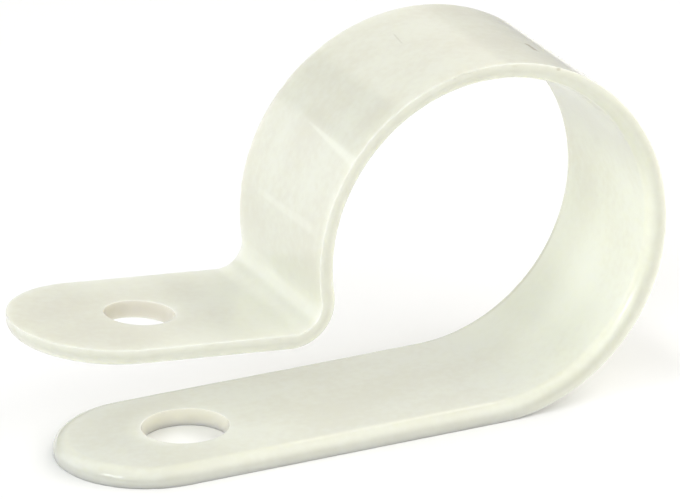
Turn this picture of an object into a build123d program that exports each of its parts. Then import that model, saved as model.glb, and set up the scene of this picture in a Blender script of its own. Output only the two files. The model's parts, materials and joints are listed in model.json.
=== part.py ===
from build123d import *
import os
from math import cos, radians, sin

# One-piece moulded loop clamp for cables, in its open, relaxed state. Millimetres and degrees.
# The lower tab lies on the mounting surface at z = 0 with its screw hole on the z axis,
# x runs from the tabs to the loop, and y runs along the cable.

# Strap section: the outer face keeps sharp edges, the face towards the cable has well rounded ones
strap_width = 12.7
strap_thickness = 1.2
cable_edge_radius = 0.9

# Loop: the bore that holds the cable, and how far the strap wraps round it before it turns away
loop_bore = 22.2
loop_wrap_deg = 277

# Waist: the tight bend from the loop into the upper tab, measured on the strap's outer face
waist_radius = 1.75

# Lower tab: from the screw hole to below the loop's centre, and from the hole to the round end
lower_hole_to_loop = 19.2
lower_hole_to_end = 8.7
lower_hole_diameter = 5.7

# Upper tab: from the waist to the screw hole, on to the round end, and how far it rises to its end
waist_to_upper_hole = 8.05
upper_hole_to_end = 8.65
upper_hole_diameter = 4.55
upper_tab_rise_deg = 5.4

# Directions and centres in the side view, where the second coordinate is the height
outer_radius = loop_bore / 2 + strap_thickness
loop_centre = Vector(lower_hole_to_loop, outer_radius)
loop_start_deg = -90
loop_end_deg = loop_start_deg + loop_wrap_deg
loop_end_direction = Vector(cos(radians(loop_end_deg)), sin(radians(loop_end_deg)))
waist_centre = loop_centre + loop_end_direction * (outer_radius + waist_radius)
waist_start_deg = loop_end_deg - 180
waist_end_deg = -90 - upper_tab_rise_deg
rise_cos = cos(radians(upper_tab_rise_deg))
rise_sin = sin(radians(upper_tab_rise_deg))

# Selection tolerance, well under any size above
on_line = 0.001


def strap_line(depth):
    """Side-view arcs of the loop and the waist, at a depth below the strap's outer face."""
    loop = CenterArc(loop_centre, outer_radius - depth, loop_start_deg, loop_wrap_deg)
    waist = CenterArc(waist_centre, waist_radius + depth, waist_start_deg, waist_end_deg - waist_start_deg)
    return loop, waist


def looped_band():
    """The bent stretch of the strap between the roots of the two tabs."""
    outer_loop, outer_waist = strap_line(0)
    inner_loop, inner_waist = strap_line(strap_thickness)
    lower_root = Line(outer_loop @ 0, inner_loop @ 0)
    upper_root = Line(outer_waist @ 1, inner_waist @ 1)
    outline = Curve() + [outer_loop, outer_waist, inner_loop, inner_waist, lower_root, upper_root]
    return extrude(Plane.XZ * make_face(outline), amount=strap_width / 2, both=True)


def lower_root_plane():
    """Plane on the lower tab's outer face, with x towards its end and z into the strap."""
    return Plane(origin=(lower_hole_to_loop, 0, 0), x_dir=(-1, 0, 0), z_dir=(0, 0, 1))


def upper_root_plane():
    """Plane on the upper tab's outer face, with x towards its end and z into the strap."""
    root = strap_line(0)[1] @ 1
    return Plane(origin=(root.X, 0, root.Y), x_dir=(-rise_cos, 0, rise_sin), z_dir=(-rise_sin, 0, -rise_cos))


def round_ended_tab(root_plane, length):
    """Flat tab of the strap's section with a full-round end."""
    half_width = strap_width / 2
    straight = length - half_width
    near_corner, far_corner = Vector(0, -half_width), Vector(0, half_width)
    outline = Curve() + [
        Line(far_corner, near_corner),
        Line(near_corner, near_corner + Vector(straight, 0)),
        CenterArc((straight, 0), half_width, -90, 180),
        Line(far_corner + Vector(straight, 0), far_corner),
    ]
    return extrude(root_plane * make_face(outline), amount=strap_thickness)


def round_cable_edges(strap):
    """Round both long edges of the face towards the cable, with the tab ends that continue them."""
    bends = [Plane.XZ * arc for arc in strap_line(strap_thickness)]
    tab_faces = [root.offset(strap_thickness) for root in (lower_root_plane(), upper_root_plane())]

    def on_cable_face(edge):
        """Whether the edge's middle lies on the side-view line of the face towards the cable."""
        middle = edge @ 0.5
        side_point = Vector(middle.X, 0, middle.Z)
        on_tabs = [face.to_local_coords(side_point) for face in tab_faces]
        on_flat = any(abs(point.Z) < on_line and point.X > 0 for point in on_tabs)
        return on_flat or any(bend.distance_to(side_point) < on_line for bend in bends)

    across_strap = strap.edges().filter_by(Axis.Y)
    long_edges = [edge for edge in strap.edges() if edge not in across_strap and on_cable_face(edge)]
    return fillet(long_edges, cable_edge_radius)


def drill_tab(strap, root_plane, distance, diameter):
    """Straight screw hole through a tab."""
    hole_plane = root_plane * Pos(distance, 0)
    return strap - extrude(hole_plane * Circle(diameter / 2), amount=2 * strap_thickness, both=True)


def clamp_strap():
    """The whole moulding: two tabs, loop and waist in one solid."""
    lower_root = lower_root_plane()
    upper_root = upper_root_plane()
    lower_tab = round_ended_tab(lower_root, lower_hole_to_loop + lower_hole_to_end)
    upper_tab = round_ended_tab(upper_root, waist_to_upper_hole + upper_hole_to_end)
    strap = round_cable_edges(lower_tab + looped_band() + upper_tab)
    strap = drill_tab(strap, lower_root, lower_hole_to_loop, lower_hole_diameter)
    return drill_tab(strap, upper_root, waist_to_upper_hole, upper_hole_diameter)


moulding = clamp_strap()
moulding.label = "clamp_strap"
os.makedirs("parts", exist_ok=True)
export_step(moulding, "parts/clamp_strap.step")
print("clamp_strap", round(moulding.volume, 2), "mm3", moulding.bounding_box())
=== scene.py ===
"""Studio look of a one-piece moulded nylon loop clamp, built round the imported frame.

The strap is meshed as an unrolled band, with coordinates along it, across it and into its
thickness, and is then bent into its tabs, loop and waist. All lengths are in metres unless a
name or a docstring says otherwise.
"""

import json
import logging
import math
from dataclasses import dataclass
from enum import Enum

import bmesh
import bpy
import numpy as np
from mathutils import Matrix, Vector

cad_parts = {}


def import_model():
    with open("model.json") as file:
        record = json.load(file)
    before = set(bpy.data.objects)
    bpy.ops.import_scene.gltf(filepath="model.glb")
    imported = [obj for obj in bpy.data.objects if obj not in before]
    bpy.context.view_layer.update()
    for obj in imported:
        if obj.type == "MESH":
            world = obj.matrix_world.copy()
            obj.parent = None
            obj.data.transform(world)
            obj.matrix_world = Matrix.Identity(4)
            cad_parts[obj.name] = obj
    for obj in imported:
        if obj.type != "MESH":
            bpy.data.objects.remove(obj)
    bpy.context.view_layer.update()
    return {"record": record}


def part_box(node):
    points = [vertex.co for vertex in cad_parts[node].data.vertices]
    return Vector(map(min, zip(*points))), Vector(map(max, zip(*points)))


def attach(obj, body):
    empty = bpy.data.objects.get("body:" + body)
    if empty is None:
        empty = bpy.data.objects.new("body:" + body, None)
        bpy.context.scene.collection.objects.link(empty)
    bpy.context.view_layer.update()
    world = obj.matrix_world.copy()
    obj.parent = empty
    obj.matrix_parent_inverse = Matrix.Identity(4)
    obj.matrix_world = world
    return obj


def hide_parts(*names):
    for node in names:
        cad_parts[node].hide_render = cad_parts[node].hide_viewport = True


MM = 0.001
NODE = "clamp_strap"
PLACE = "strap_place"
LOG = logging.getLogger("clamp")

Socket = bpy.types.NodeSocket
Triple = tuple[float, float, float]
WHITE: Triple = (1.0, 1.0, 1.0)
BLACK: Triple = (0.0, 0.0, 0.0)


class Zone(Enum):
    """Finish zones of the moulding, in the order of its material slots. The two hole walls are the same
    nylon, one painted lighter and one painted darker.
    """

    FACE = 0
    CABLE = 1
    EDGE = 2
    LOWER_HOLE = 3
    UPPER_HOLE = 4


class Tab(Enum):
    """The strap's two flat ends, each with a screw hole."""

    LOWER = "lower"
    UPPER = "upper"


@dataclass
class StrapSizes:
    """Sizes of the bent strap, read from the frame where the frame states them."""

    half_width: float
    thickness: float
    bore_radius: float
    loop_x: float
    loop_z: float
    lower_hole_x: float
    lower_hole_radius: float
    upper_hole: Vector
    upper_axis: Vector
    upper_hole_radius: float
    loop_wrap: float = math.radians(277)
    waist_radius: float = 1.75 * MM
    lower_hole_to_end: float = 8.7 * MM
    upper_hole_to_end: float = 8.65 * MM
    cable_edge_radius: float = 0.9 * MM
    outer_edge_radius: float = 0.04 * MM
    hole_edge_radius: float = 0.03 * MM

    @classmethod
    def from_frame(cls, record: dict) -> "StrapSizes":
        """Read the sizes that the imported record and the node's box state.

        Args:
            record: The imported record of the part.

        Returns:
            The strap's sizes.
        """
        mounts = {mount["name"]: mount for mount in record["mounts"]}
        loop, lower, upper = mounts["cable_loop"], mounts["lower_screw_hole"], mounts["upper_screw_hole"]
        low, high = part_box(NODE)
        bore_radius = loop["dims"]["r_mm"] * MM
        return cls(
            half_width=high.y,
            thickness=loop["pos_m"][2] - bore_radius - low.z,
            bore_radius=bore_radius,
            loop_x=loop["pos_m"][0],
            loop_z=loop["pos_m"][2],
            lower_hole_x=lower["pos_m"][0],
            lower_hole_radius=lower["dims"]["r_mm"] * MM,
            upper_hole=Vector(upper["pos_m"]),
            upper_axis=Vector(upper["axis"]),
            upper_hole_radius=upper["dims"]["r_mm"] * MM,
        )

    @property
    def outer_radius(self) -> float:
        """Radius of the loop's outer face."""
        return self.bore_radius + self.thickness


class StrapPath:
    """Bends the unrolled strap: along its outer face from the lower tab's root, across it, and into it."""

    def __init__(self, sizes: StrapSizes) -> None:
        """Work out the bend's centres, lengths and directions.

        Args:
            sizes: The strap's sizes.
        """
        self.sizes = sizes
        self.loop_start = -math.pi / 2
        loop_end = self.loop_start + sizes.loop_wrap
        self.loop_centre = np.array([sizes.loop_x, sizes.loop_z])
        reach = sizes.outer_radius + sizes.waist_radius
        self.waist_centre = self.loop_centre + reach * np.array([math.cos(loop_end), math.sin(loop_end)])
        self.waist_start = loop_end - math.pi
        rise = math.atan2(sizes.upper_axis.x, sizes.upper_axis.z)
        waist_end = -math.pi / 2 - rise
        self.loop_length = sizes.outer_radius * sizes.loop_wrap
        self.bend_length = self.loop_length + sizes.waist_radius * (self.waist_start - waist_end)
        self.upper_inward = np.array([math.cos(waist_end), math.sin(waist_end)])
        self.upper_along = np.array([-math.cos(rise), math.sin(rise)])
        self.upper_root = self.waist_centre + sizes.waist_radius * self.upper_inward

    @property
    def lower_hole(self) -> float:
        """Place of the lower hole's centre along the strap."""
        return self.sizes.lower_hole_x - self.sizes.loop_x

    @property
    def upper_hole(self) -> float:
        """Place of the upper hole's centre along the strap."""
        hole = np.array([self.sizes.upper_hole.x, self.sizes.upper_hole.z])
        return self.bend_length + float((hole - self.upper_root) @ self.upper_along)

    def place(self, along: np.ndarray, across: np.ndarray, depth: np.ndarray) -> np.ndarray:
        """Put points of the unrolled strap in space.

        Args:
            along: Distances along the outer face from the lower tab's root; below zero on the lower tab.
            across: Distances from the middle of the strap's width.
            depth: Depths below the outer face.

        Returns:
            One row of x, y, z for each point.
        """
        sizes = self.sizes
        loop_angle = self.loop_start + along / sizes.outer_radius
        waist_angle = self.waist_start - (along - self.loop_length) / sizes.waist_radius
        loop_out = np.stack([np.cos(loop_angle), np.sin(loop_angle)], -1)
        waist_out = np.stack([np.cos(waist_angle), np.sin(waist_angle)], -1)
        flat = np.stack([sizes.loop_x + along, np.zeros_like(along)], -1)
        up = np.broadcast_to(np.array([0.0, 1.0]), flat.shape)
        upper = self.upper_root + np.outer(along - self.bend_length, self.upper_along)
        pick = [(along < end)[:, None] for end in (0.0, self.loop_length, self.bend_length)]
        outer = np.select(pick, [flat, self.loop_centre + sizes.outer_radius * loop_out,
                                 self.waist_centre + sizes.waist_radius * waist_out], upper)
        inward = np.select(pick, [up, -loop_out, waist_out], np.broadcast_to(self.upper_inward, flat.shape))
        side = outer + inward * depth[:, None]
        return np.stack([side[:, 0], across, side[:, 1]], -1)


@dataclass
class MouldWaves:
    """Faint unevenness of the moulded faces and of the strap's outer edge, always into the material.

    Both are sums of waves. The quicken and weaken values say how much shorter and weaker each
    next wave is. The nicks are the crests above a floor, and their reach is the share of the
    strap's thickness that they run down.
    """

    wave_count: int = 9
    sink_seed: int = 11
    sink_depth: float = 0.010 * MM
    sink_length: float = 14 * MM
    sink_quicken: float = 0.45
    sink_weaken: float = 0.6
    sink_turn: float = 0.9
    nick_seed: int = 18
    nick_depth: float = 0.05 * MM
    nick_length: float = 2.6 * MM
    nick_quicken: float = 0.7
    nick_weaken: float = 0.35
    nick_phase: float = 9.0
    nick_floor: float = 1.1
    nick_span: float = 1.6
    nick_reach: float = 0.35

    def sink(self, along: np.ndarray, across: np.ndarray, face: int) -> np.ndarray:
        """Depth of the shallow sink marks on one face.

        Args:
            along: Places along the strap.
            across: Places across the strap.
            face: 0 for the outer face and 1 for the face towards the cable.

        Returns:
            Depths from zero to the sink depth.
        """
        draw = np.random.default_rng(self.sink_seed + face)
        total = np.zeros_like(along)
        for index in range(self.wave_count):
            wave = 2 * math.pi / (self.sink_length / (1 + self.sink_quicken * index))
            turn = draw.uniform(-self.sink_turn, self.sink_turn)
            phase = draw.uniform(0, 2 * math.pi)
            turned = along * math.cos(turn) + across * math.sin(turn)
            total += np.sin(wave * turned + phase) / (1 + self.sink_weaken * index)
        return self.sink_depth * (0.5 + 0.5 * np.tanh(total))

    def nicks(self, along: np.ndarray, side: np.ndarray) -> np.ndarray:
        """Inward raggedness of the outer edge along the mould's split line.

        Args:
            along: Places along the strap.
            side: Which long edge, -1 near or 1 far.

        Returns:
            Insets from zero to the nick depth.
        """
        draw = np.random.default_rng(self.nick_seed)
        total = np.zeros_like(along)
        for index in range(self.wave_count):
            wave = 2 * math.pi / (self.nick_length / (1 + self.nick_quicken * index))
            side_phase = side * draw.uniform(0, self.nick_phase)
            phase = draw.uniform(0, self.nick_phase)
            total += np.sin(wave * along + side_phase + phase) / (1 + self.nick_weaken * index)
        crests = np.clip(total - self.nick_floor, 0, self.nick_span)
        return self.nick_depth * crests / self.nick_span


@dataclass
class ClampStrap:
    """The moulded strap: its mesh, bent from a flat outline with two screw holes, and its finish zones."""

    sizes: StrapSizes
    waves: MouldWaves
    station_step: float = 0.42 * MM
    loop_steps: int = 190
    waist_steps: int = 22
    across_steps: int = 30
    end_steps: int = 56
    hole_layers: int = 12
    round_steps: int = 8
    support: float = 0.16 * MM

    def __post_init__(self) -> None:
        """Lay out the stations along the strap."""
        self.path = StrapPath(self.sizes)
        half = self.sizes.half_width
        self.lower_end = self.path.lower_hole - self.sizes.lower_hole_to_end + half
        self.upper_end = self.path.upper_hole + self.sizes.upper_hole_to_end - half
        lower_block = self.path.lower_hole + half
        upper_block = self.path.upper_hole - half
        runs = [
            self.run(self.lower_end, lower_block),
            self.run(lower_block, 0.0),
            np.linspace(0.0, self.path.loop_length, self.loop_steps + 1),
            np.linspace(self.path.loop_length, self.path.bend_length, self.waist_steps + 1),
            self.run(self.path.bend_length, upper_block),
            self.run(upper_block, self.upper_end),
        ]
        self.lower_station = len(runs[0]) - 1
        self.stations = np.concatenate([runs[0]] + [run[1:] for run in runs[1:]])
        self.upper_station = len(self.stations) - len(runs[-1])
        self.ring_size = 2 * self.end_steps + 2 * (len(self.stations) - 1)
        self.points: list[np.ndarray] = []
        self.faces: list[list[int]] = []
        self.zones: list[int] = []

    def run(self, start: float, end: float) -> np.ndarray:
        """Even stations from start to end, about one station step apart."""
        return np.linspace(start, end, max(2, round((end - start) / self.station_step) + 1))

    def far(self, station: int) -> int:
        """Outline index of a station's far point."""
        return self.end_steps + station

    def near(self, station: int) -> int:
        """Outline index of a station's near point."""
        return (self.ring_size - station) % self.ring_size

    def outline(self, inset: np.ndarray) -> tuple[np.ndarray, np.ndarray]:
        """The strap's flat outline, moved in from its edge.

        Args:
            inset: Inset at each outline point.

        Returns:
            Places along and across, starting at the lower end's near side.
        """
        turn = np.linspace(-math.pi / 2, math.pi / 2, self.end_steps + 1)
        middle = self.stations[1:-1]
        along = np.concatenate([np.full_like(turn, self.lower_end), middle,
                                np.full_like(turn, self.upper_end), middle[::-1]])
        zero, one = np.zeros_like(middle), np.ones_like(middle)
        push = np.concatenate([-np.cos(turn), zero, np.cos(turn), zero])
        side = np.concatenate([np.sin(turn), one, -np.sin(turn), -one])
        reach = self.sizes.half_width - inset
        return along + push * reach, side * reach

    def add_points(self, along: np.ndarray, across: np.ndarray, depth: np.ndarray) -> np.ndarray:
        """Store points of the unrolled strap.

        Args:
            along: Places along the strap.
            across: Places across the strap.
            depth: Depths below the outer face.

        Returns:
            The new points' indices.
        """
        first = sum(len(block) for block in self.points)
        self.points.append(np.stack(np.broadcast_arrays(along, across, depth), -1).reshape(-1, 3))
        return np.arange(first, first + len(self.points[-1]))

    def add_quads(self, corners: tuple[np.ndarray, ...], zone: Zone) -> None:
        """Store quads, one for each place in four lists of corners.

        Args:
            corners: Point indices of the first, second, third and fourth corners.
            zone: Finish zone of the new faces.
        """
        quads = np.stack(corners, -1).tolist()
        self.faces += quads
        self.zones += [zone.value] * len(quads)

    def join_rings(self, rings: list[np.ndarray], zone: Zone) -> None:
        """Fill the bands between neighbouring closed rings of the same length with quads.

        Args:
            rings: Point indices of each ring.
            zone: Finish zone of the new faces.
        """
        for inner, outer in zip(rings, rings[1:]):
            self.add_quads((inner, np.roll(inner, -1), np.roll(outer, -1), outer), zone)

    def edge_levels(self, at_outer: float, at_cable: float) -> list[tuple[float, float]]:
        """Inset and depth of each level of a rounded edge, from the outer face inwards.

        Args:
            at_outer: Rounding radius at the outer face.
            at_cable: Rounding radius at the face towards the cable.

        Returns:
            Pairs of inset and depth.
        """
        turns = np.linspace(0, math.pi / 2, self.round_steps + 1)
        full = self.sizes.thickness
        outer = [(at_outer * (1 - math.sin(turn)), at_outer * (1 - math.cos(turn))) for turn in turns]
        cable = [(at_cable * (1 - math.cos(turn)), full - at_cable * (1 - math.sin(turn))) for turn in turns]
        return outer + cable

    def build_edges(self) -> list[np.ndarray]:
        """Rings of the strap's outer edge.

        Returns:
            The rings from the outer face to the face towards the cable.
        """
        along, across = self.outline(np.zeros(self.ring_size))
        nicks = self.waves.nicks(along, np.sign(across))
        rings = []
        for inset, depth in self.edge_levels(self.sizes.outer_edge_radius, self.sizes.cable_edge_radius):
            fade = max(0.0, 1 - depth / (self.waves.nick_reach * self.sizes.thickness))
            rings.append(self.add_points(*self.outline(inset + nicks * fade), depth))
        self.join_rings(rings, Zone.EDGE)
        return rings

    def strip_columns(self, ring: np.ndarray) -> np.ndarray:
        """Point indices of the strip between the two hole blocks, one row for each station.

        Args:
            ring: The face's outline ring.

        Returns:
            Indices from the near side to the far side, from the lower block's station to the upper one's.
        """
        flat = np.concatenate(self.points)
        rows = []
        for station in range(self.lower_station, self.upper_station + 1):
            near, far = ring[self.near(station)], ring[self.far(station)]
            low, high = flat[near], flat[far]
            across = np.linspace(low[1] + self.support, high[1] - self.support, self.across_steps - 1)
            along = np.full_like(across, self.stations[station])
            middle = self.add_points(along, across, np.full_like(across, low[2]))
            rows.append(np.concatenate([[near], middle, [far]]))
        return np.array(rows)

    def build_face(self, ring: np.ndarray, hole_rings: dict[Tab, np.ndarray], zone: Zone) -> None:
        """Fill one wide face: the strip between the hole blocks and a block round each hole.

        Args:
            ring: The face's outline ring.
            hole_rings: The face's ring round each tab's hole.
            zone: Finish zone of the face.
        """
        rows = self.strip_columns(ring)
        for row, after in zip(rows, rows[1:]):
            self.add_quads((row[:-1], after[:-1], after[1:], row[1:]), zone)
        for tab, root in ((Tab.LOWER, rows[0][::-1]), (Tab.UPPER, rows[-1])):
            head, tail = self.block_outline(tab)
            loop = np.concatenate([ring[head], root, ring[tail]])
            self.build_block(loop, hole_rings[tab], zone)

    def block_outline(self, tab: Tab) -> tuple[np.ndarray, np.ndarray]:
        """Stretches of the outline that close the loop round a hole's block.

        Args:
            tab: The tab that the block is on.

        Returns:
            Outline indices before and after the block's root row.
        """
        if tab is Tab.LOWER:
            head = np.arange(self.far(self.lower_station))
            tail = [self.near(station) for station in range(self.lower_station - 1, 0, -1)]
        else:
            head = np.arange(self.far(self.upper_station) + 1, self.near(self.upper_station))
            tail = []
        return head, np.array(tail, int)

    def hole_centre(self, tab: Tab) -> float:
        """Place of a tab's hole along the strap."""
        return self.path.lower_hole if tab is Tab.LOWER else self.path.upper_hole

    def block_angles(self, tab: Tab) -> np.ndarray:
        """Directions from a hole's centre to its block's loop, measured on the edge itself.

        Args:
            tab: The tab that the hole is in.

        Returns:
            One angle for each point of the block's loop.
        """
        along, across = self.outline(np.zeros(self.ring_size))
        head, tail = self.block_outline(tab)
        half = self.sizes.half_width
        columns = np.linspace(-half + self.support, half - self.support, self.across_steps - 1)
        root_across = np.concatenate([[-half], columns, [half]])
        station = self.upper_station
        if tab is Tab.LOWER:
            root_across = root_across[::-1]
            station = self.lower_station
        root_along = np.full_like(root_across, self.stations[station])
        loop_along = np.concatenate([along[head], root_along, along[tail]])
        loop_across = np.concatenate([across[head], root_across, across[tail]])
        return np.arctan2(loop_across, loop_along - self.hole_centre(tab))

    def build_hole(self, tab: Tab) -> tuple[np.ndarray, np.ndarray]:
        """Wall of one straight screw hole.

        Args:
            tab: The tab that the hole is in.

        Returns:
            The hole's rings on the outer face and on the face towards the cable.
        """
        sizes = self.sizes
        lower = tab is Tab.LOWER
        radius = sizes.lower_hole_radius if lower else sizes.upper_hole_radius
        centre = self.hole_centre(tab)
        angles = self.block_angles(tab)
        rings = []
        for widening, depth in self.edge_levels(sizes.hole_edge_radius, sizes.hole_edge_radius):
            reach = radius + widening
            rings.append(self.add_points(centre + reach * np.cos(angles), reach * np.sin(angles), depth))
        self.join_rings(rings, Zone.LOWER_HOLE if lower else Zone.UPPER_HOLE)
        return rings[0], rings[-1]

    def build_block(self, loop: np.ndarray, hole_ring: np.ndarray, zone: Zone) -> None:
        """Fill the face between a block's loop and its hole with layers of quads.

        Args:
            loop: Point indices of the block's loop.
            hole_ring: Point indices of the hole's ring, in the same order.
            zone: Finish zone of the face.
        """
        flat = np.concatenate(self.points)
        outside, inside = flat[loop], flat[hole_ring]
        span = np.linalg.norm((outside - inside)[:, :2], axis=1)
        shares = np.linspace(0, 1, self.hole_layers + 1)[1:-1]
        rings = [loop]
        first = self.support / span
        for share in np.concatenate([[0.0], shares, [1.0]]):
            mix = first + share * (1 - 2 * first)
            middle = outside + (inside - outside) * mix[:, None]
            rings.append(self.add_points(middle[:, 0], middle[:, 1], middle[:, 2]))
        self.join_rings(rings + [hole_ring], zone)

    def bent_points(self) -> tuple[np.ndarray, np.ndarray]:
        """All points in space, with the faces' faint sink marks.

        Returns:
            The points in space, and their places in the unrolled strap.
        """
        flat = np.concatenate(self.points)
        along, across, depth = flat.T
        share = depth / self.sizes.thickness
        outer_sink = self.waves.sink(along, across, 0) * (1 - share)
        cable_sink = self.waves.sink(along, across, 1) * share
        return self.path.place(along, across, depth + outer_sink - cable_sink), flat

    def build(self) -> bpy.types.Object:
        """Make the moulding's mesh object.

        Returns:
            The new object, riding on the part's one body.
        """
        rings = self.build_edges()
        holes = {tab: self.build_hole(tab) for tab in Tab}
        self.build_face(rings[0], {tab: pair[0] for tab, pair in holes.items()}, Zone.FACE)
        self.build_face(rings[-1], {tab: pair[1] for tab, pair in holes.items()}, Zone.CABLE)
        points, flat = self.bent_points()
        mesh = bpy.data.meshes.new("moulded_strap")
        mesh.from_pydata(points.tolist(), [], self.faces)
        mesh.polygons.foreach_set("material_index", self.zones)
        place = mesh.attributes.new(PLACE, "FLOAT_VECTOR", "POINT")
        place.data.foreach_set("vector", flat.astype(np.float32).ravel())
        self.point_faces_out(mesh)
        mesh.shade_smooth()
        strap = bpy.data.objects.new("moulded_strap", mesh)
        bpy.context.scene.collection.objects.link(strap)
        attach(strap, "root")
        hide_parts(NODE)
        return strap

    @staticmethod
    def point_faces_out(mesh: bpy.types.Mesh) -> None:
        """Turn every face of the closed mesh outwards.

        Args:
            mesh: The mesh to change.
        """
        work = bmesh.new()
        work.from_mesh(mesh)
        bmesh.ops.recalc_face_normals(work, faces=work.faces)
        work.to_mesh(mesh)
        work.free()

    def dress(self, strap: bpy.types.Object, finishes: dict[Zone, "NylonFinish"]) -> None:
        """Give the moulding one material for each finish zone.

        Args:
            strap: The moulding's object.
            finishes: The finish of each zone.
        """
        for zone in Zone:
            strap.data.materials.append(finishes[zone].build())


class Wiring:
    """Short forms for adding and joining nodes in one shader tree."""

    def __init__(self, tree: bpy.types.NodeTree) -> None:
        """Keep the tree that the nodes go into."""
        self.tree = tree

    def add(self, kind: str, **options: object) -> bpy.types.Node:
        """Add a node.

        Args:
            kind: The node's type name.
            options: The node's own settings.

        Returns:
            The new node.
        """
        node = self.tree.nodes.new(kind)
        for name, value in options.items():
            setattr(node, name, value)
        return node

    def feed(self, socket: Socket, value: object) -> None:
        """Join an input to another node's output, or set the input's own value.

        Args:
            socket: The input socket.
            value: An output socket, a number or a colour.
        """
        if isinstance(value, Socket):
            self.tree.links.new(value, socket)
        else:
            socket.default_value = value

    def math(self, operation: str, *values: object) -> Socket:
        """Calculate with one Math node.

        Args:
            operation: The node's operation.
            values: Numbers or output sockets.

        Returns:
            The result's socket.
        """
        node = self.add("ShaderNodeMath", operation=operation)
        for socket, value in zip(node.inputs, values):
            self.feed(socket, value)
        return node.outputs["Value"]

    def place(self) -> tuple[Socket, ...]:
        """Place on the unrolled strap.

        Returns:
            Sockets of the whole vector and of its along, across and depth parts.
        """
        whole = self.add("ShaderNodeAttribute", attribute_name=PLACE).outputs["Vector"]
        parts = self.add("ShaderNodeSeparateXYZ")
        self.feed(parts.inputs["Vector"], whole)
        return (whole, *parts.outputs)

    def stretched(self, vector: Socket, factors: Triple) -> Socket:
        """Scale a vector's parts.

        Args:
            vector: The vector's socket.
            factors: A factor for each part.

        Returns:
            The scaled vector's socket.
        """
        node = self.add("ShaderNodeVectorMath", operation="MULTIPLY")
        self.feed(node.inputs[0], vector)
        node.inputs[1].default_value = factors
        return node.outputs["Vector"]

    def noise(self, vector: Socket, scale: object, detail: float = 2.0) -> Socket:
        """Noise from about zero to one.

        Args:
            vector: Where to read the noise.
            scale: Patches in a metre.
            detail: Octaves of detail.

        Returns:
            The noise value's socket.
        """
        node = self.add("ShaderNodeTexNoise")
        self.feed(node.inputs["Vector"], vector)
        self.feed(node.inputs["Scale"], scale)
        node.inputs["Detail"].default_value = detail
        return node.outputs["Fac"]

    def ramp(self, value: object, start: object, end: object) -> Socket:
        """Smooth step of a value.

        Args:
            value: The value's socket.
            start: Where the result is zero.
            end: Where the result is one.

        Returns:
            The result's socket.
        """
        node = self.add("ShaderNodeMapRange", interpolation_type="SMOOTHSTEP")
        for name, item in (("Value", value), ("From Min", start), ("From Max", end)):
            self.feed(node.inputs[name], item)
        return node.outputs["Result"]

    def blend(self, share: object, first: object, second: object) -> Socket:
        """Mix two colours.

        Args:
            share: Share of the second colour.
            first: The first colour or its socket.
            second: The second colour or its socket.

        Returns:
            The mixed colour's socket.
        """
        node = self.add("ShaderNodeMix", data_type="RGBA")
        self.feed(node.inputs["Factor"], share)
        self.feed(node.inputs["A"], first)
        self.feed(node.inputs["B"], second)
        return node.outputs["Result"]


class Effect:
    """A shader node group, built once and placed in each material with its own values."""

    name = ""
    inputs: dict[str, str] = {}
    outputs: dict[str, str] = {}

    def wire(self, wiring: Wiring, given: dict, result: dict) -> None:
        """Join the group's nodes.

        Args:
            wiring: The group's tree.
            given: Sockets of the group's inputs by name.
            result: Sockets of the group's outputs by name.
        """
        raise NotImplementedError

    def tree(self) -> bpy.types.NodeTree:
        """The group's tree, built on first use.

        Returns:
            The shader node group.
        """
        found = bpy.data.node_groups.get(self.name)
        if found:
            return found
        tree = bpy.data.node_groups.new(self.name, "ShaderNodeTree")
        for label, kind in self.inputs.items():
            tree.interface.new_socket(label, in_out="INPUT", socket_type=kind)
        for label, kind in self.outputs.items():
            tree.interface.new_socket(label, in_out="OUTPUT", socket_type=kind)
        wiring = Wiring(tree)
        given = wiring.add("NodeGroupInput").outputs
        result = wiring.add("NodeGroupOutput").inputs
        self.wire(wiring, given, result)
        return tree

    def place(self, wiring: Wiring, values: dict[str, object]) -> bpy.types.Node:
        """Put the effect into a material.

        Args:
            wiring: The material's tree.
            values: Values or sockets for the group's inputs.

        Returns:
            The group's node.
        """
        node = wiring.add("ShaderNodeGroup", node_tree=self.tree())
        for label, value in values.items():
            wiring.feed(node.inputs[label], value)
        return node


class MilkyCloud(Effect):
    """Cloudy patches of clearer and milkier nylon, drawn out along the mould's flow, with an optional
    painted shade that darkens the colour with depth.
    """

    name = "milky_cloud"
    inputs = {"Clear": "NodeSocketColor", "Milky": "NodeSocketColor", "Patch Scale": "NodeSocketFloat",
              "Fade": "NodeSocketFloat", "Fade Start": "NodeSocketFloat", "Fade End": "NodeSocketFloat"}
    outputs = {"Color": "NodeSocketColor"}
    flow_stretch: Triple = (0.5, 1.0, 1.0)
    fine_factor = 7.0
    fine_share = 0.35
    broad_share = 0.65
    clear_below = 0.36
    milky_above = 0.64

    def wire(self, wiring: Wiring, given: dict, result: dict) -> None:
        """Join broad flow patches and a fine mottle into one colour, which a painted shade may darken with
        depth.

        Args:
            wiring: The group's tree.
            given: Sockets of the group's inputs by name.
            result: Sockets of the group's outputs by name.
        """
        whole, _, _, depth = wiring.place()
        drawn = wiring.stretched(whole, self.flow_stretch)
        broad = wiring.noise(drawn, given["Patch Scale"], detail=3.0)
        fine = wiring.noise(whole, wiring.math("MULTIPLY", given["Patch Scale"], self.fine_factor))
        broad_part = wiring.math("MULTIPLY", broad, self.broad_share)
        total = wiring.math("MULTIPLY_ADD", fine, self.fine_share, broad_part)
        milkiness = wiring.ramp(total, self.clear_below, self.milky_above)
        cloud = wiring.blend(milkiness, given["Clear"], given["Milky"])
        # Painted shade: blend towards black from the fade start depth to the fade end depth, by the fade's
        # share
        reached = wiring.ramp(depth, given["Fade Start"], given["Fade End"])
        fade = wiring.math("MULTIPLY", reached, given["Fade"])
        wiring.feed(result["Color"], wiring.blend(fade, cloud, (*BLACK, 1.0)))


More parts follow.
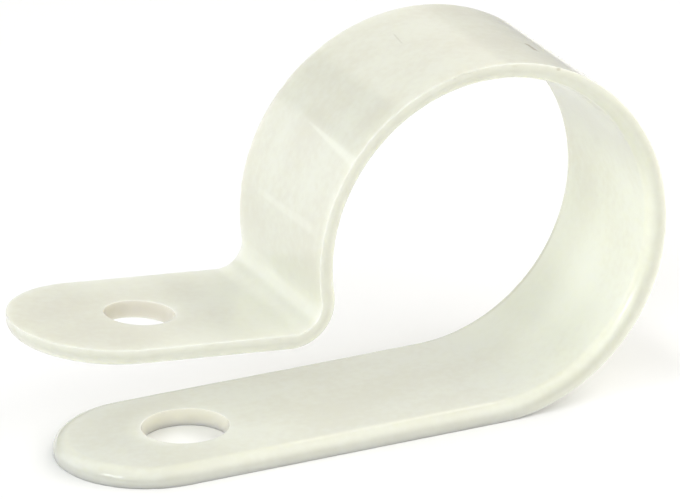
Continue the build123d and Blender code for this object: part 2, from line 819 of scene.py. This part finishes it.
class MouldedSkin(Effect):
    """Satin moulded skin: uneven gloss and a very shallow grain."""

    name = "moulded_skin"
    inputs = {"Smooth": "NodeSocketFloat", "Dull": "NodeSocketFloat", "Grain Scale": "NodeSocketFloat"}
    outputs = {"Roughness": "NodeSocketFloat", "Height": "NodeSocketFloat"}
    cross_stretch: Triple = (1.0, 0.25, 1.0)
    flow_factor = 0.08
    grain_share = 0.4
    flow_share = 0.6
    smooth_below = 0.35
    dull_above = 0.65
    grain_height = 0.25
    flow_height = 1.5

    def wire(self, wiring: Wiring, given: dict, result: dict) -> None:
        """Join gloss patches and the grain's height.

        Args:
            wiring: The group's tree.
            given: Sockets of the group's inputs by name.
            result: Sockets of the group's outputs by name.
        """
        whole = wiring.place()[0]
        grain = wiring.noise(whole, given["Grain Scale"], detail=3.0)
        drawn = wiring.stretched(whole, self.cross_stretch)
        flow = wiring.noise(drawn, wiring.math("MULTIPLY", given["Grain Scale"], self.flow_factor))
        flow_part = wiring.math("MULTIPLY", flow, self.flow_share)
        patches = wiring.math("MULTIPLY_ADD", grain, self.grain_share, flow_part)
        dullness = wiring.ramp(patches, self.smooth_below, self.dull_above)
        spread = wiring.math("SUBTRACT", given["Dull"], given["Smooth"])
        roughness = wiring.math("MULTIPLY_ADD", dullness, spread, given["Smooth"])
        wiring.feed(result["Roughness"], roughness)
        grain_part = wiring.math("MULTIPLY", grain, self.grain_height)
        wiring.feed(result["Height"], wiring.math("MULTIPLY_ADD", flow, self.flow_height, grain_part))


class DashMark(Effect):
    """Mask of one soft dash on the strap, which may flare to one side and be ragged."""

    name = "dash_mark"
    inputs = dict.fromkeys(("Along", "Cross", "Along Centre", "Cross Centre", "Half Along", "Half Cross",
                            "Lean", "Flare", "Ragged"), "NodeSocketFloat")
    outputs = {"Mask": "NodeSocketFloat"}
    ragged_scale = 5000.0
    ragged_middle = 0.5
    least_flare = 0.05
    solid_width = 0.2
    solid_length = 0.55

    def wire(self, wiring: Wiring, given: dict, result: dict) -> None:
        """Measure the distance from the dash's middle line in parts of its half sizes.

        Args:
            wiring: The group's tree.
            given: Sockets of the group's inputs by name.
            result: Sockets of the group's outputs by name.
        """
        whole = wiring.place()[0]
        cross = wiring.math("SUBTRACT", given["Cross"], given["Cross Centre"])
        share = wiring.math("DIVIDE", cross, given["Half Cross"])
        leaned = wiring.math("MULTIPLY_ADD", cross, given["Lean"], given["Along Centre"])
        along = wiring.math("ABSOLUTE", wiring.math("SUBTRACT", given["Along"], leaned))
        flare = wiring.math("MULTIPLY_ADD", share, given["Flare"], 1.0)
        flared = wiring.math("MAXIMUM", flare, self.least_flare)
        half = wiring.math("MULTIPLY", given["Half Along"], flared)
        ragged = wiring.math("SUBTRACT", wiring.noise(whole, self.ragged_scale), self.ragged_middle)
        wobble = wiring.math("MULTIPLY", ragged, given["Ragged"])
        width = wiring.math("ADD", wiring.math("DIVIDE", along, half), wobble)
        length = wiring.math("ADD", wiring.math("ABSOLUTE", share), wobble)
        across_dash = wiring.ramp(width, 1.0, self.solid_width)
        along_dash = wiring.ramp(length, 1.0, self.solid_length)
        wiring.feed(result["Mask"], wiring.math("MULTIPLY", across_dash, along_dash))


@dataclass(frozen=True)
class Mark:
    """One mark on the moulding, in millimetres on the unrolled strap.

    It lies at a place along the strap and across it, or into its depth. Lean slants it, flare
    widens one of its ends, and ragged breaks up its outline.
    """

    along: float
    cross: float
    half_along: float
    half_cross: float
    tint: Triple
    strength: float
    lean: float = 0.0
    flare: float = 0.0
    ragged: float = 0.0


@dataclass(frozen=True)
class NylonFinish:
    """Natural nylon as moulded: milky, slightly green, satin to glossy."""

    name: str
    clear: Triple
    milky: Triple
    smooth: float
    dull: float
    marks: tuple[Mark, ...] = ()
    marks_by_depth: bool = False
    # fade is painted shade: how far the colour is blended towards black between the fade start and fade end
    # depths
    fade: float = 0.0
    fade_start: float = 1.15 * MM
    fade_end: float = 0.50 * MM
    patch_scale: float = 260.0
    grain_scale: float = 2600.0
    grain_depth: float = 0.004 * MM
    subsurface_depth: float = 1.2 * MM
    subsurface_spread: Triple = (1.0, 1.0, 0.85)
    ior: float = 1.53

    def build(self) -> bpy.types.Material:
        """Make the material.

        Returns:
            The new material.
        """
        material = bpy.data.materials.new(self.name)
        material.use_nodes = True
        wiring = Wiring(material.node_tree)
        shader = material.node_tree.nodes["Principled BSDF"]
        cloud = MilkyCloud().place(wiring, {"Clear": (*self.clear, 1.0), "Milky": (*self.milky, 1.0),
                                            "Patch Scale": self.patch_scale, "Fade": self.fade,
                                            "Fade Start": self.fade_start, "Fade End": self.fade_end})
        wiring.feed(shader.inputs["Base Color"], self.marked(wiring, cloud.outputs["Color"]))
        skin = MouldedSkin().place(wiring, {"Smooth": self.smooth, "Dull": self.dull,
                                            "Grain Scale": self.grain_scale})
        wiring.feed(shader.inputs["Roughness"], skin.outputs["Roughness"])
        bump = wiring.add("ShaderNodeBump")
        bump.inputs["Strength"].default_value = 1.0
        bump.inputs["Distance"].default_value = self.grain_depth
        wiring.feed(bump.inputs["Height"], skin.outputs["Height"])
        wiring.feed(shader.inputs["Normal"], bump.outputs["Normal"])
        shader.inputs["IOR"].default_value = self.ior
        shader.inputs["Subsurface Weight"].default_value = 1.0
        shader.inputs["Subsurface Radius"].default_value = self.subsurface_spread
        shader.inputs["Subsurface Scale"].default_value = self.subsurface_depth
        return material

    def marked(self, wiring: Wiring, colour: Socket) -> Socket:
        """Lay the finish's marks over its colour: specks and scratches, and patches of painted light and
        painted shade. Marks placed by depth show on the near edge only.

        Args:
            wiring: The material's tree.
            colour: The unmarked colour's socket.

        Returns:
            The marked colour's socket.
        """
        if not self.marks:
            return colour
        _, along, across, depth = wiring.place()
        cross = depth if self.marks_by_depth else across
        for mark in self.marks:
            values = {"Along": along, "Cross": cross, "Along Centre": mark.along * MM,
                      "Cross Centre": mark.cross * MM, "Half Along": mark.half_along * MM,
                      "Half Cross": mark.half_cross * MM, "Lean": mark.lean, "Flare": mark.flare,
                      "Ragged": mark.ragged}
            mask = DashMark().place(wiring, values).outputs["Mask"]
            share = wiring.math("MULTIPLY", mask, mark.strength)
            if self.marks_by_depth:
                share = wiring.math("MULTIPLY", share, wiring.math("LESS_THAN", across, 0.0))
            colour = wiring.blend(share, colour, (*mark.tint, 1.0))
        return colour


def direction(azimuth: float, elevation: float) -> Vector:
    """Direction away from the clamp.

    Args:
        azimuth: Turn in radians from the front towards the right.
        elevation: Rise in radians above the floor.

    Returns:
        A vector of length one.
    """
    level = math.cos(elevation)
    return Vector((math.sin(azimuth) * level, -math.cos(azimuth) * level, math.sin(elevation)))


@dataclass
class PhotoCamera:
    """Camera at the photograph's viewing angle, aimed by where the loop's centre sits in its frame."""

    target: Vector
    azimuth: float = math.radians(-24.07)
    elevation: float = math.radians(21.66)
    roll: float = math.radians(-1.23)
    distance: float = 427.7 * MM
    pixels_per_metre: float = 15457.0
    target_pixel: tuple[float, float] = (452.9, 214.5)
    frame_pixels: tuple[float, float] = (680.0, 499.0)
    sensor_width_mm: float = 36.0
    nearest: float = 0.01
    farthest: float = 10.0

    def build(self) -> bpy.types.Object:
        """Make the camera and the scene's use of it.

        Returns:
            The camera object.
        """
        back = direction(self.azimuth, self.elevation)
        level = Vector((math.cos(self.azimuth), math.sin(self.azimuth), 0.0))
        upright = back.cross(level)
        right = level * math.cos(self.roll) + upright * math.sin(self.roll)
        up = upright * math.cos(self.roll) - level * math.sin(self.roll)
        wide, high = self.frame_pixels
        shift_right = (self.target_pixel[0] - wide / 2) / self.pixels_per_metre
        shift_up = (high / 2 - self.target_pixel[1]) / self.pixels_per_metre
        data = bpy.data.cameras.new("photo_camera")
        data.sensor_fit = "HORIZONTAL"
        data.sensor_width = self.sensor_width_mm
        data.lens = self.pixels_per_metre * self.distance * self.sensor_width_mm / wide
        data.clip_start = self.nearest
        data.clip_end = self.farthest
        camera = bpy.data.objects.new("photo_camera", data)
        turned = Matrix((right, up, back)).transposed().to_4x4()
        turned.translation = self.target + back * self.distance - right * shift_right - up * shift_up
        camera.matrix_world = turned
        bpy.context.scene.collection.objects.link(camera)
        bpy.context.scene.camera = camera
        return camera


@dataclass
class StudioFloor:
    """Plain pale floor under the clamp, in two slabs: the far one stays out of the clamp's reflections."""

    reach: float = 0.6
    mirrored_behind: float = 0.095
    tint: Triple = (0.93, 0.93, 0.93)
    roughness: float = 0.9
    specular: float = 0.1

    def build(self) -> None:
        """Make both slabs, and keep the far one out of glossy rays."""
        finish = self.finish()
        near = self.slab("studio_floor", -self.reach, self.mirrored_behind, finish)
        far = self.slab("studio_floor_behind", self.mirrored_behind, self.reach, finish)
        far.visible_glossy = False

    def finish(self) -> bpy.types.Material:
        """Make the floor's matt material.

        Returns:
            The new material.
        """
        material = bpy.data.materials.new("pale_floor")
        material.use_nodes = True
        shader = material.node_tree.nodes["Principled BSDF"]
        shader.inputs["Base Color"].default_value = (*self.tint, 1.0)
        shader.inputs["Roughness"].default_value = self.roughness
        shader.inputs["Specular IOR Level"].default_value = self.specular
        return material

    def slab(self, name: str, front: float, back: float, finish: bpy.types.Material) -> bpy.types.Object:
        """Make one rectangle of floor across the whole width.

        Args:
            name: The slab's name.
            front: Where it starts along y.
            back: Where it ends along y.
            finish: Its material.

        Returns:
            The slab's object.
        """
        side = self.reach
        corners = [(-side, front, 0), (side, front, 0), (side, back, 0), (-side, back, 0)]
        mesh = bpy.data.meshes.new(name)
        mesh.from_pydata(corners, [], [(0, 1, 2, 3)])
        mesh.materials.append(finish)
        floor = bpy.data.objects.new(name, mesh)
        bpy.context.scene.collection.objects.link(floor)
        return floor


# Tints of the lights, and the distance of the panels that stand close to the clamp
WARM: Triple = (1.0, 0.975, 0.94)
COOL: Triple = (0.95, 0.975, 1.0)
NEARBY = 0.28


@dataclass
class SoftPanel:
    """One softbox, placed by its direction from the clamp and aimed at it."""

    name: str
    azimuth_deg: float
    elevation_deg: float
    width: float
    height: float
    radiance: float
    tint: Triple = WHITE
    distance: float = 0.6

    def build(self, target: Vector) -> bpy.types.Object:
        """Make the light.

        Args:
            target: The point that the panel faces.

        Returns:
            The light object.
        """
        away = direction(math.radians(self.azimuth_deg), math.radians(self.elevation_deg))
        light = area_light(self.name, self.width, self.height, self.radiance, self.tint)
        light.location = target + away * self.distance
        light.rotation_euler = away.to_track_quat("Z", "Y").to_euler()
        return light


@dataclass
class BackCard:
    """One upright white card behind the clamp, placed by the slopes at which the clamp sees its edges."""

    name: str
    left: float
    right: float
    low: float
    high: float
    radiance: float
    tint: Triple = WHITE
    distance: float = 0.5

    def build(self, target: Vector) -> bpy.types.Object:
        """Make the light.

        Args:
            target: The point that the slopes start from.

        Returns:
            The light object.
        """
        width = (self.right - self.left) * self.distance
        height = (self.high - self.low) * self.distance
        light = area_light(self.name, width, height, self.radiance, self.tint)
        middle = Vector(((self.left + self.right) / 2, 1.0, (self.low + self.high) / 2))
        light.location = target + middle * self.distance
        light.rotation_euler = (-math.pi / 2, 0.0, 0.0)
        return light


def area_light(name: str, width: float, height: float, radiance: float, tint: Triple) -> bpy.types.Object:
    """Make a rectangular area light in the scene.

    Args:
        name: The light's name.
        width: Its size along its own x axis.
        height: Its size along its own y axis.
        radiance: Brightness of its surface.
        tint: Its colour.

    Returns:
        The light object at the origin, shining down its own z axis.
    """
    data = bpy.data.lights.new(name, "AREA")
    data.shape = "RECTANGLE"
    data.size = width
    data.size_y = height
    data.energy = math.pi * width * height * radiance
    data.color = tint
    light = bpy.data.objects.new(name, data)
    bpy.context.scene.collection.objects.link(light)
    return light


@dataclass
class Studio:
    """Soft studio light all round the clamp, and plain colour handling."""

    ambient: float = 0.15
    lights: tuple[SoftPanel | BackCard, ...] = (
        SoftPanel("right_low", 90, 14, 0.50, 0.30, 3.5),
        SoftPanel("front_right", 40, 40, 0.26, 0.30, 1.66, WARM, NEARBY),
        SoftPanel("front_left", -42, 33, 0.26, 0.26, 1.66, COOL, NEARBY),
        SoftPanel("left_key", -75, 26, 0.16, 0.11, 7.0, COOL, distance=0.45),
        SoftPanel("overhead_key", -90, 76, 0.20, 0.11, 8.4, WARM),
        SoftPanel("back_right", 128, 38, 0.38, 0.30, 2.8, WARM),
        SoftPanel("back_left", -135, 38, 0.42, 0.30, 1.4),
        SoftPanel("back_left_low", -125, 12, 0.30, 0.22, 2.2, COOL),
        BackCard("card_right", -0.18, 0.64, 0.35, 0.72, 0.66, WARM),
        BackCard("card_left", -0.80, -0.50, -0.24, 0.45, 1.15),
        BackCard("card_low", 0.36, 0.74, -0.24, 0.35, 0.28),
    )

    def build(self, target: Vector) -> None:
        """Make the world light, the panels and the cards.

        Args:
            target: The point that the lights face.
        """
        scene = bpy.context.scene
        world = bpy.data.worlds.new("soft_room")
        world.use_nodes = True
        background = world.node_tree.nodes["Background"]
        background.inputs["Color"].default_value = (*WHITE, 1.0)
        background.inputs["Strength"].default_value = self.ambient
        scene.world = world
        scene.view_settings.view_transform = "Standard"
        for light in self.lights:
            light.build(target)
            LOG.info("light %s", light.name)


# Tints of the marks on the nylon: brown and grey for specks and scratches, and one tint each for painted
# light and painted shade
BROWN: Triple = (0.26, 0.22, 0.13)
GREY: Triple = (0.50, 0.49, 0.40)
# Painted light: the tint of the lighter patches and highlight streaks
PAINTED_LIGHT: Triple = (0.86, 0.875, 0.80)
# Painted shade: the tint of the darker patches
PAINTED_SHADE: Triple = (0.60, 0.61, 0.53)

FINISHES = {
    Zone.FACE: NylonFinish(
        name="nylon_face",
        clear=(0.690, 0.685, 0.597),
        milky=(0.727, 0.735, 0.653),
        smooth=0.10,
        dull=0.16,
        marks=(
            Mark(33.65, -1.9, 0.30, 0.95, BROWN, 0.55, ragged=0.7),
            Mark(41.5, 1.9, 0.09, 1.10, GREY, 0.35, lean=-0.13, ragged=0.6),
            # Painted highlights: two pale streaks across the loop's outer face stand in for reflections of
            # the studio's lights
            Mark(49.8, -3.0, 0.34, 4.60, PAINTED_LIGHT, 0.40, lean=-0.05, flare=-0.75),
            Mark(55.3, -0.8, 0.42, 5.40, PAINTED_LIGHT, 0.24, lean=0.02, flare=-0.35),
            # Painted light: broad lighter patches over the waist bend and round the upper hole, where the
            # face would otherwise render darker
            Mark(61.8, 0.0, 5.00, 12.0, PAINTED_LIGHT, 0.50),
            Mark(69.5, 0.0, 4.50, 12.0, PAINTED_LIGHT, 0.20),
        ),
    ),
    Zone.CABLE: NylonFinish(
        name="nylon_cable_side",
        # Painted light: the cable side is the same nylon as the outer face, given a lighter colour to make
        # up for the light it lacks inside the loop and on the lower tab
        clear=(0.752, 0.753, 0.668),
        milky=(0.788, 0.801, 0.726),
        smooth=0.17,
        dull=0.22,
        marks=(
            # Painted shade over the top of the loop's inner face, which the floor's bounce lights strongly
            Mark(27.5, 0.0, 7.50, 12.0, PAINTED_SHADE, 0.60),
            # Painted light over the far side of the inner face, low on the loop's right
            Mark(10.0, 4.5, 10.0, 7.50, PAINTED_LIGHT, 0.60),
        ),
    ),
    Zone.EDGE: NylonFinish(
        name="nylon_edge",
        clear=(0.754, 0.755, 0.660),
        milky=(0.786, 0.795, 0.706),
        smooth=0.13,
        dull=0.18,
        marks=(
            Mark(40.7, 0.05, 1.50, 0.10, GREY, 0.45, ragged=1.2),
            Mark(37.1, 0.20, 0.25, 0.10, GREY, 0.35, ragged=1.0),
            Mark(33.9, 0.11, 0.22, 0.12, BROWN, 0.40, ragged=0.8),
            # Painted shade on the near edge's cable-side rounding at the top of the loop
            Mark(27.5, 1.20, 7.50, 0.60, PAINTED_SHADE, 0.60),
        ),
        marks_by_depth=True,
        # Painted shade: the edge darkens from its cable side towards the outer face, to even it with the
        # faces beside it under the front lights
        fade=0.19,
    ),
    Zone.LOWER_HOLE: NylonFinish(
        name="nylon_lower_hole",
        # Painted light: the lower hole's wall is given a lighter colour than the faces to make up for the
        # shade it sits in near the floor
        clear=(0.82, 0.80, 0.70),
        milky=(0.84, 0.82, 0.72),
        smooth=0.17,
        dull=0.22,
    ),
    Zone.UPPER_HOLE: NylonFinish(
        name="nylon_upper_hole",
        # Painted shade: the upper hole's wall is given a darker, browner colour than the faces so that it
        # reads as in shade
        clear=(0.645, 0.622, 0.55),
        milky=(0.655, 0.632, 0.56),
        smooth=0.17,
        dull=0.22,
    ),
}


def main() -> None:
    """Build the clamp, its finish, the floor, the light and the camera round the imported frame."""
    logging.basicConfig(level=logging.INFO, format="%(name)s: %(message)s")
    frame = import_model()
    sizes = StrapSizes.from_frame(frame["record"])
    strap_maker = ClampStrap(sizes, MouldWaves())
    strap = strap_maker.build()
    strap_maker.dress(strap, FINISHES)
    LOG.info("piece %s: %d faces", strap.name, len(strap.data.polygons))
    loop_centre = Vector((sizes.loop_x, 0.0, sizes.loop_z))
    StudioFloor().build()
    Studio().build(loop_centre)
    PhotoCamera(loop_centre).build()


if __name__ == "__main__":
    main()
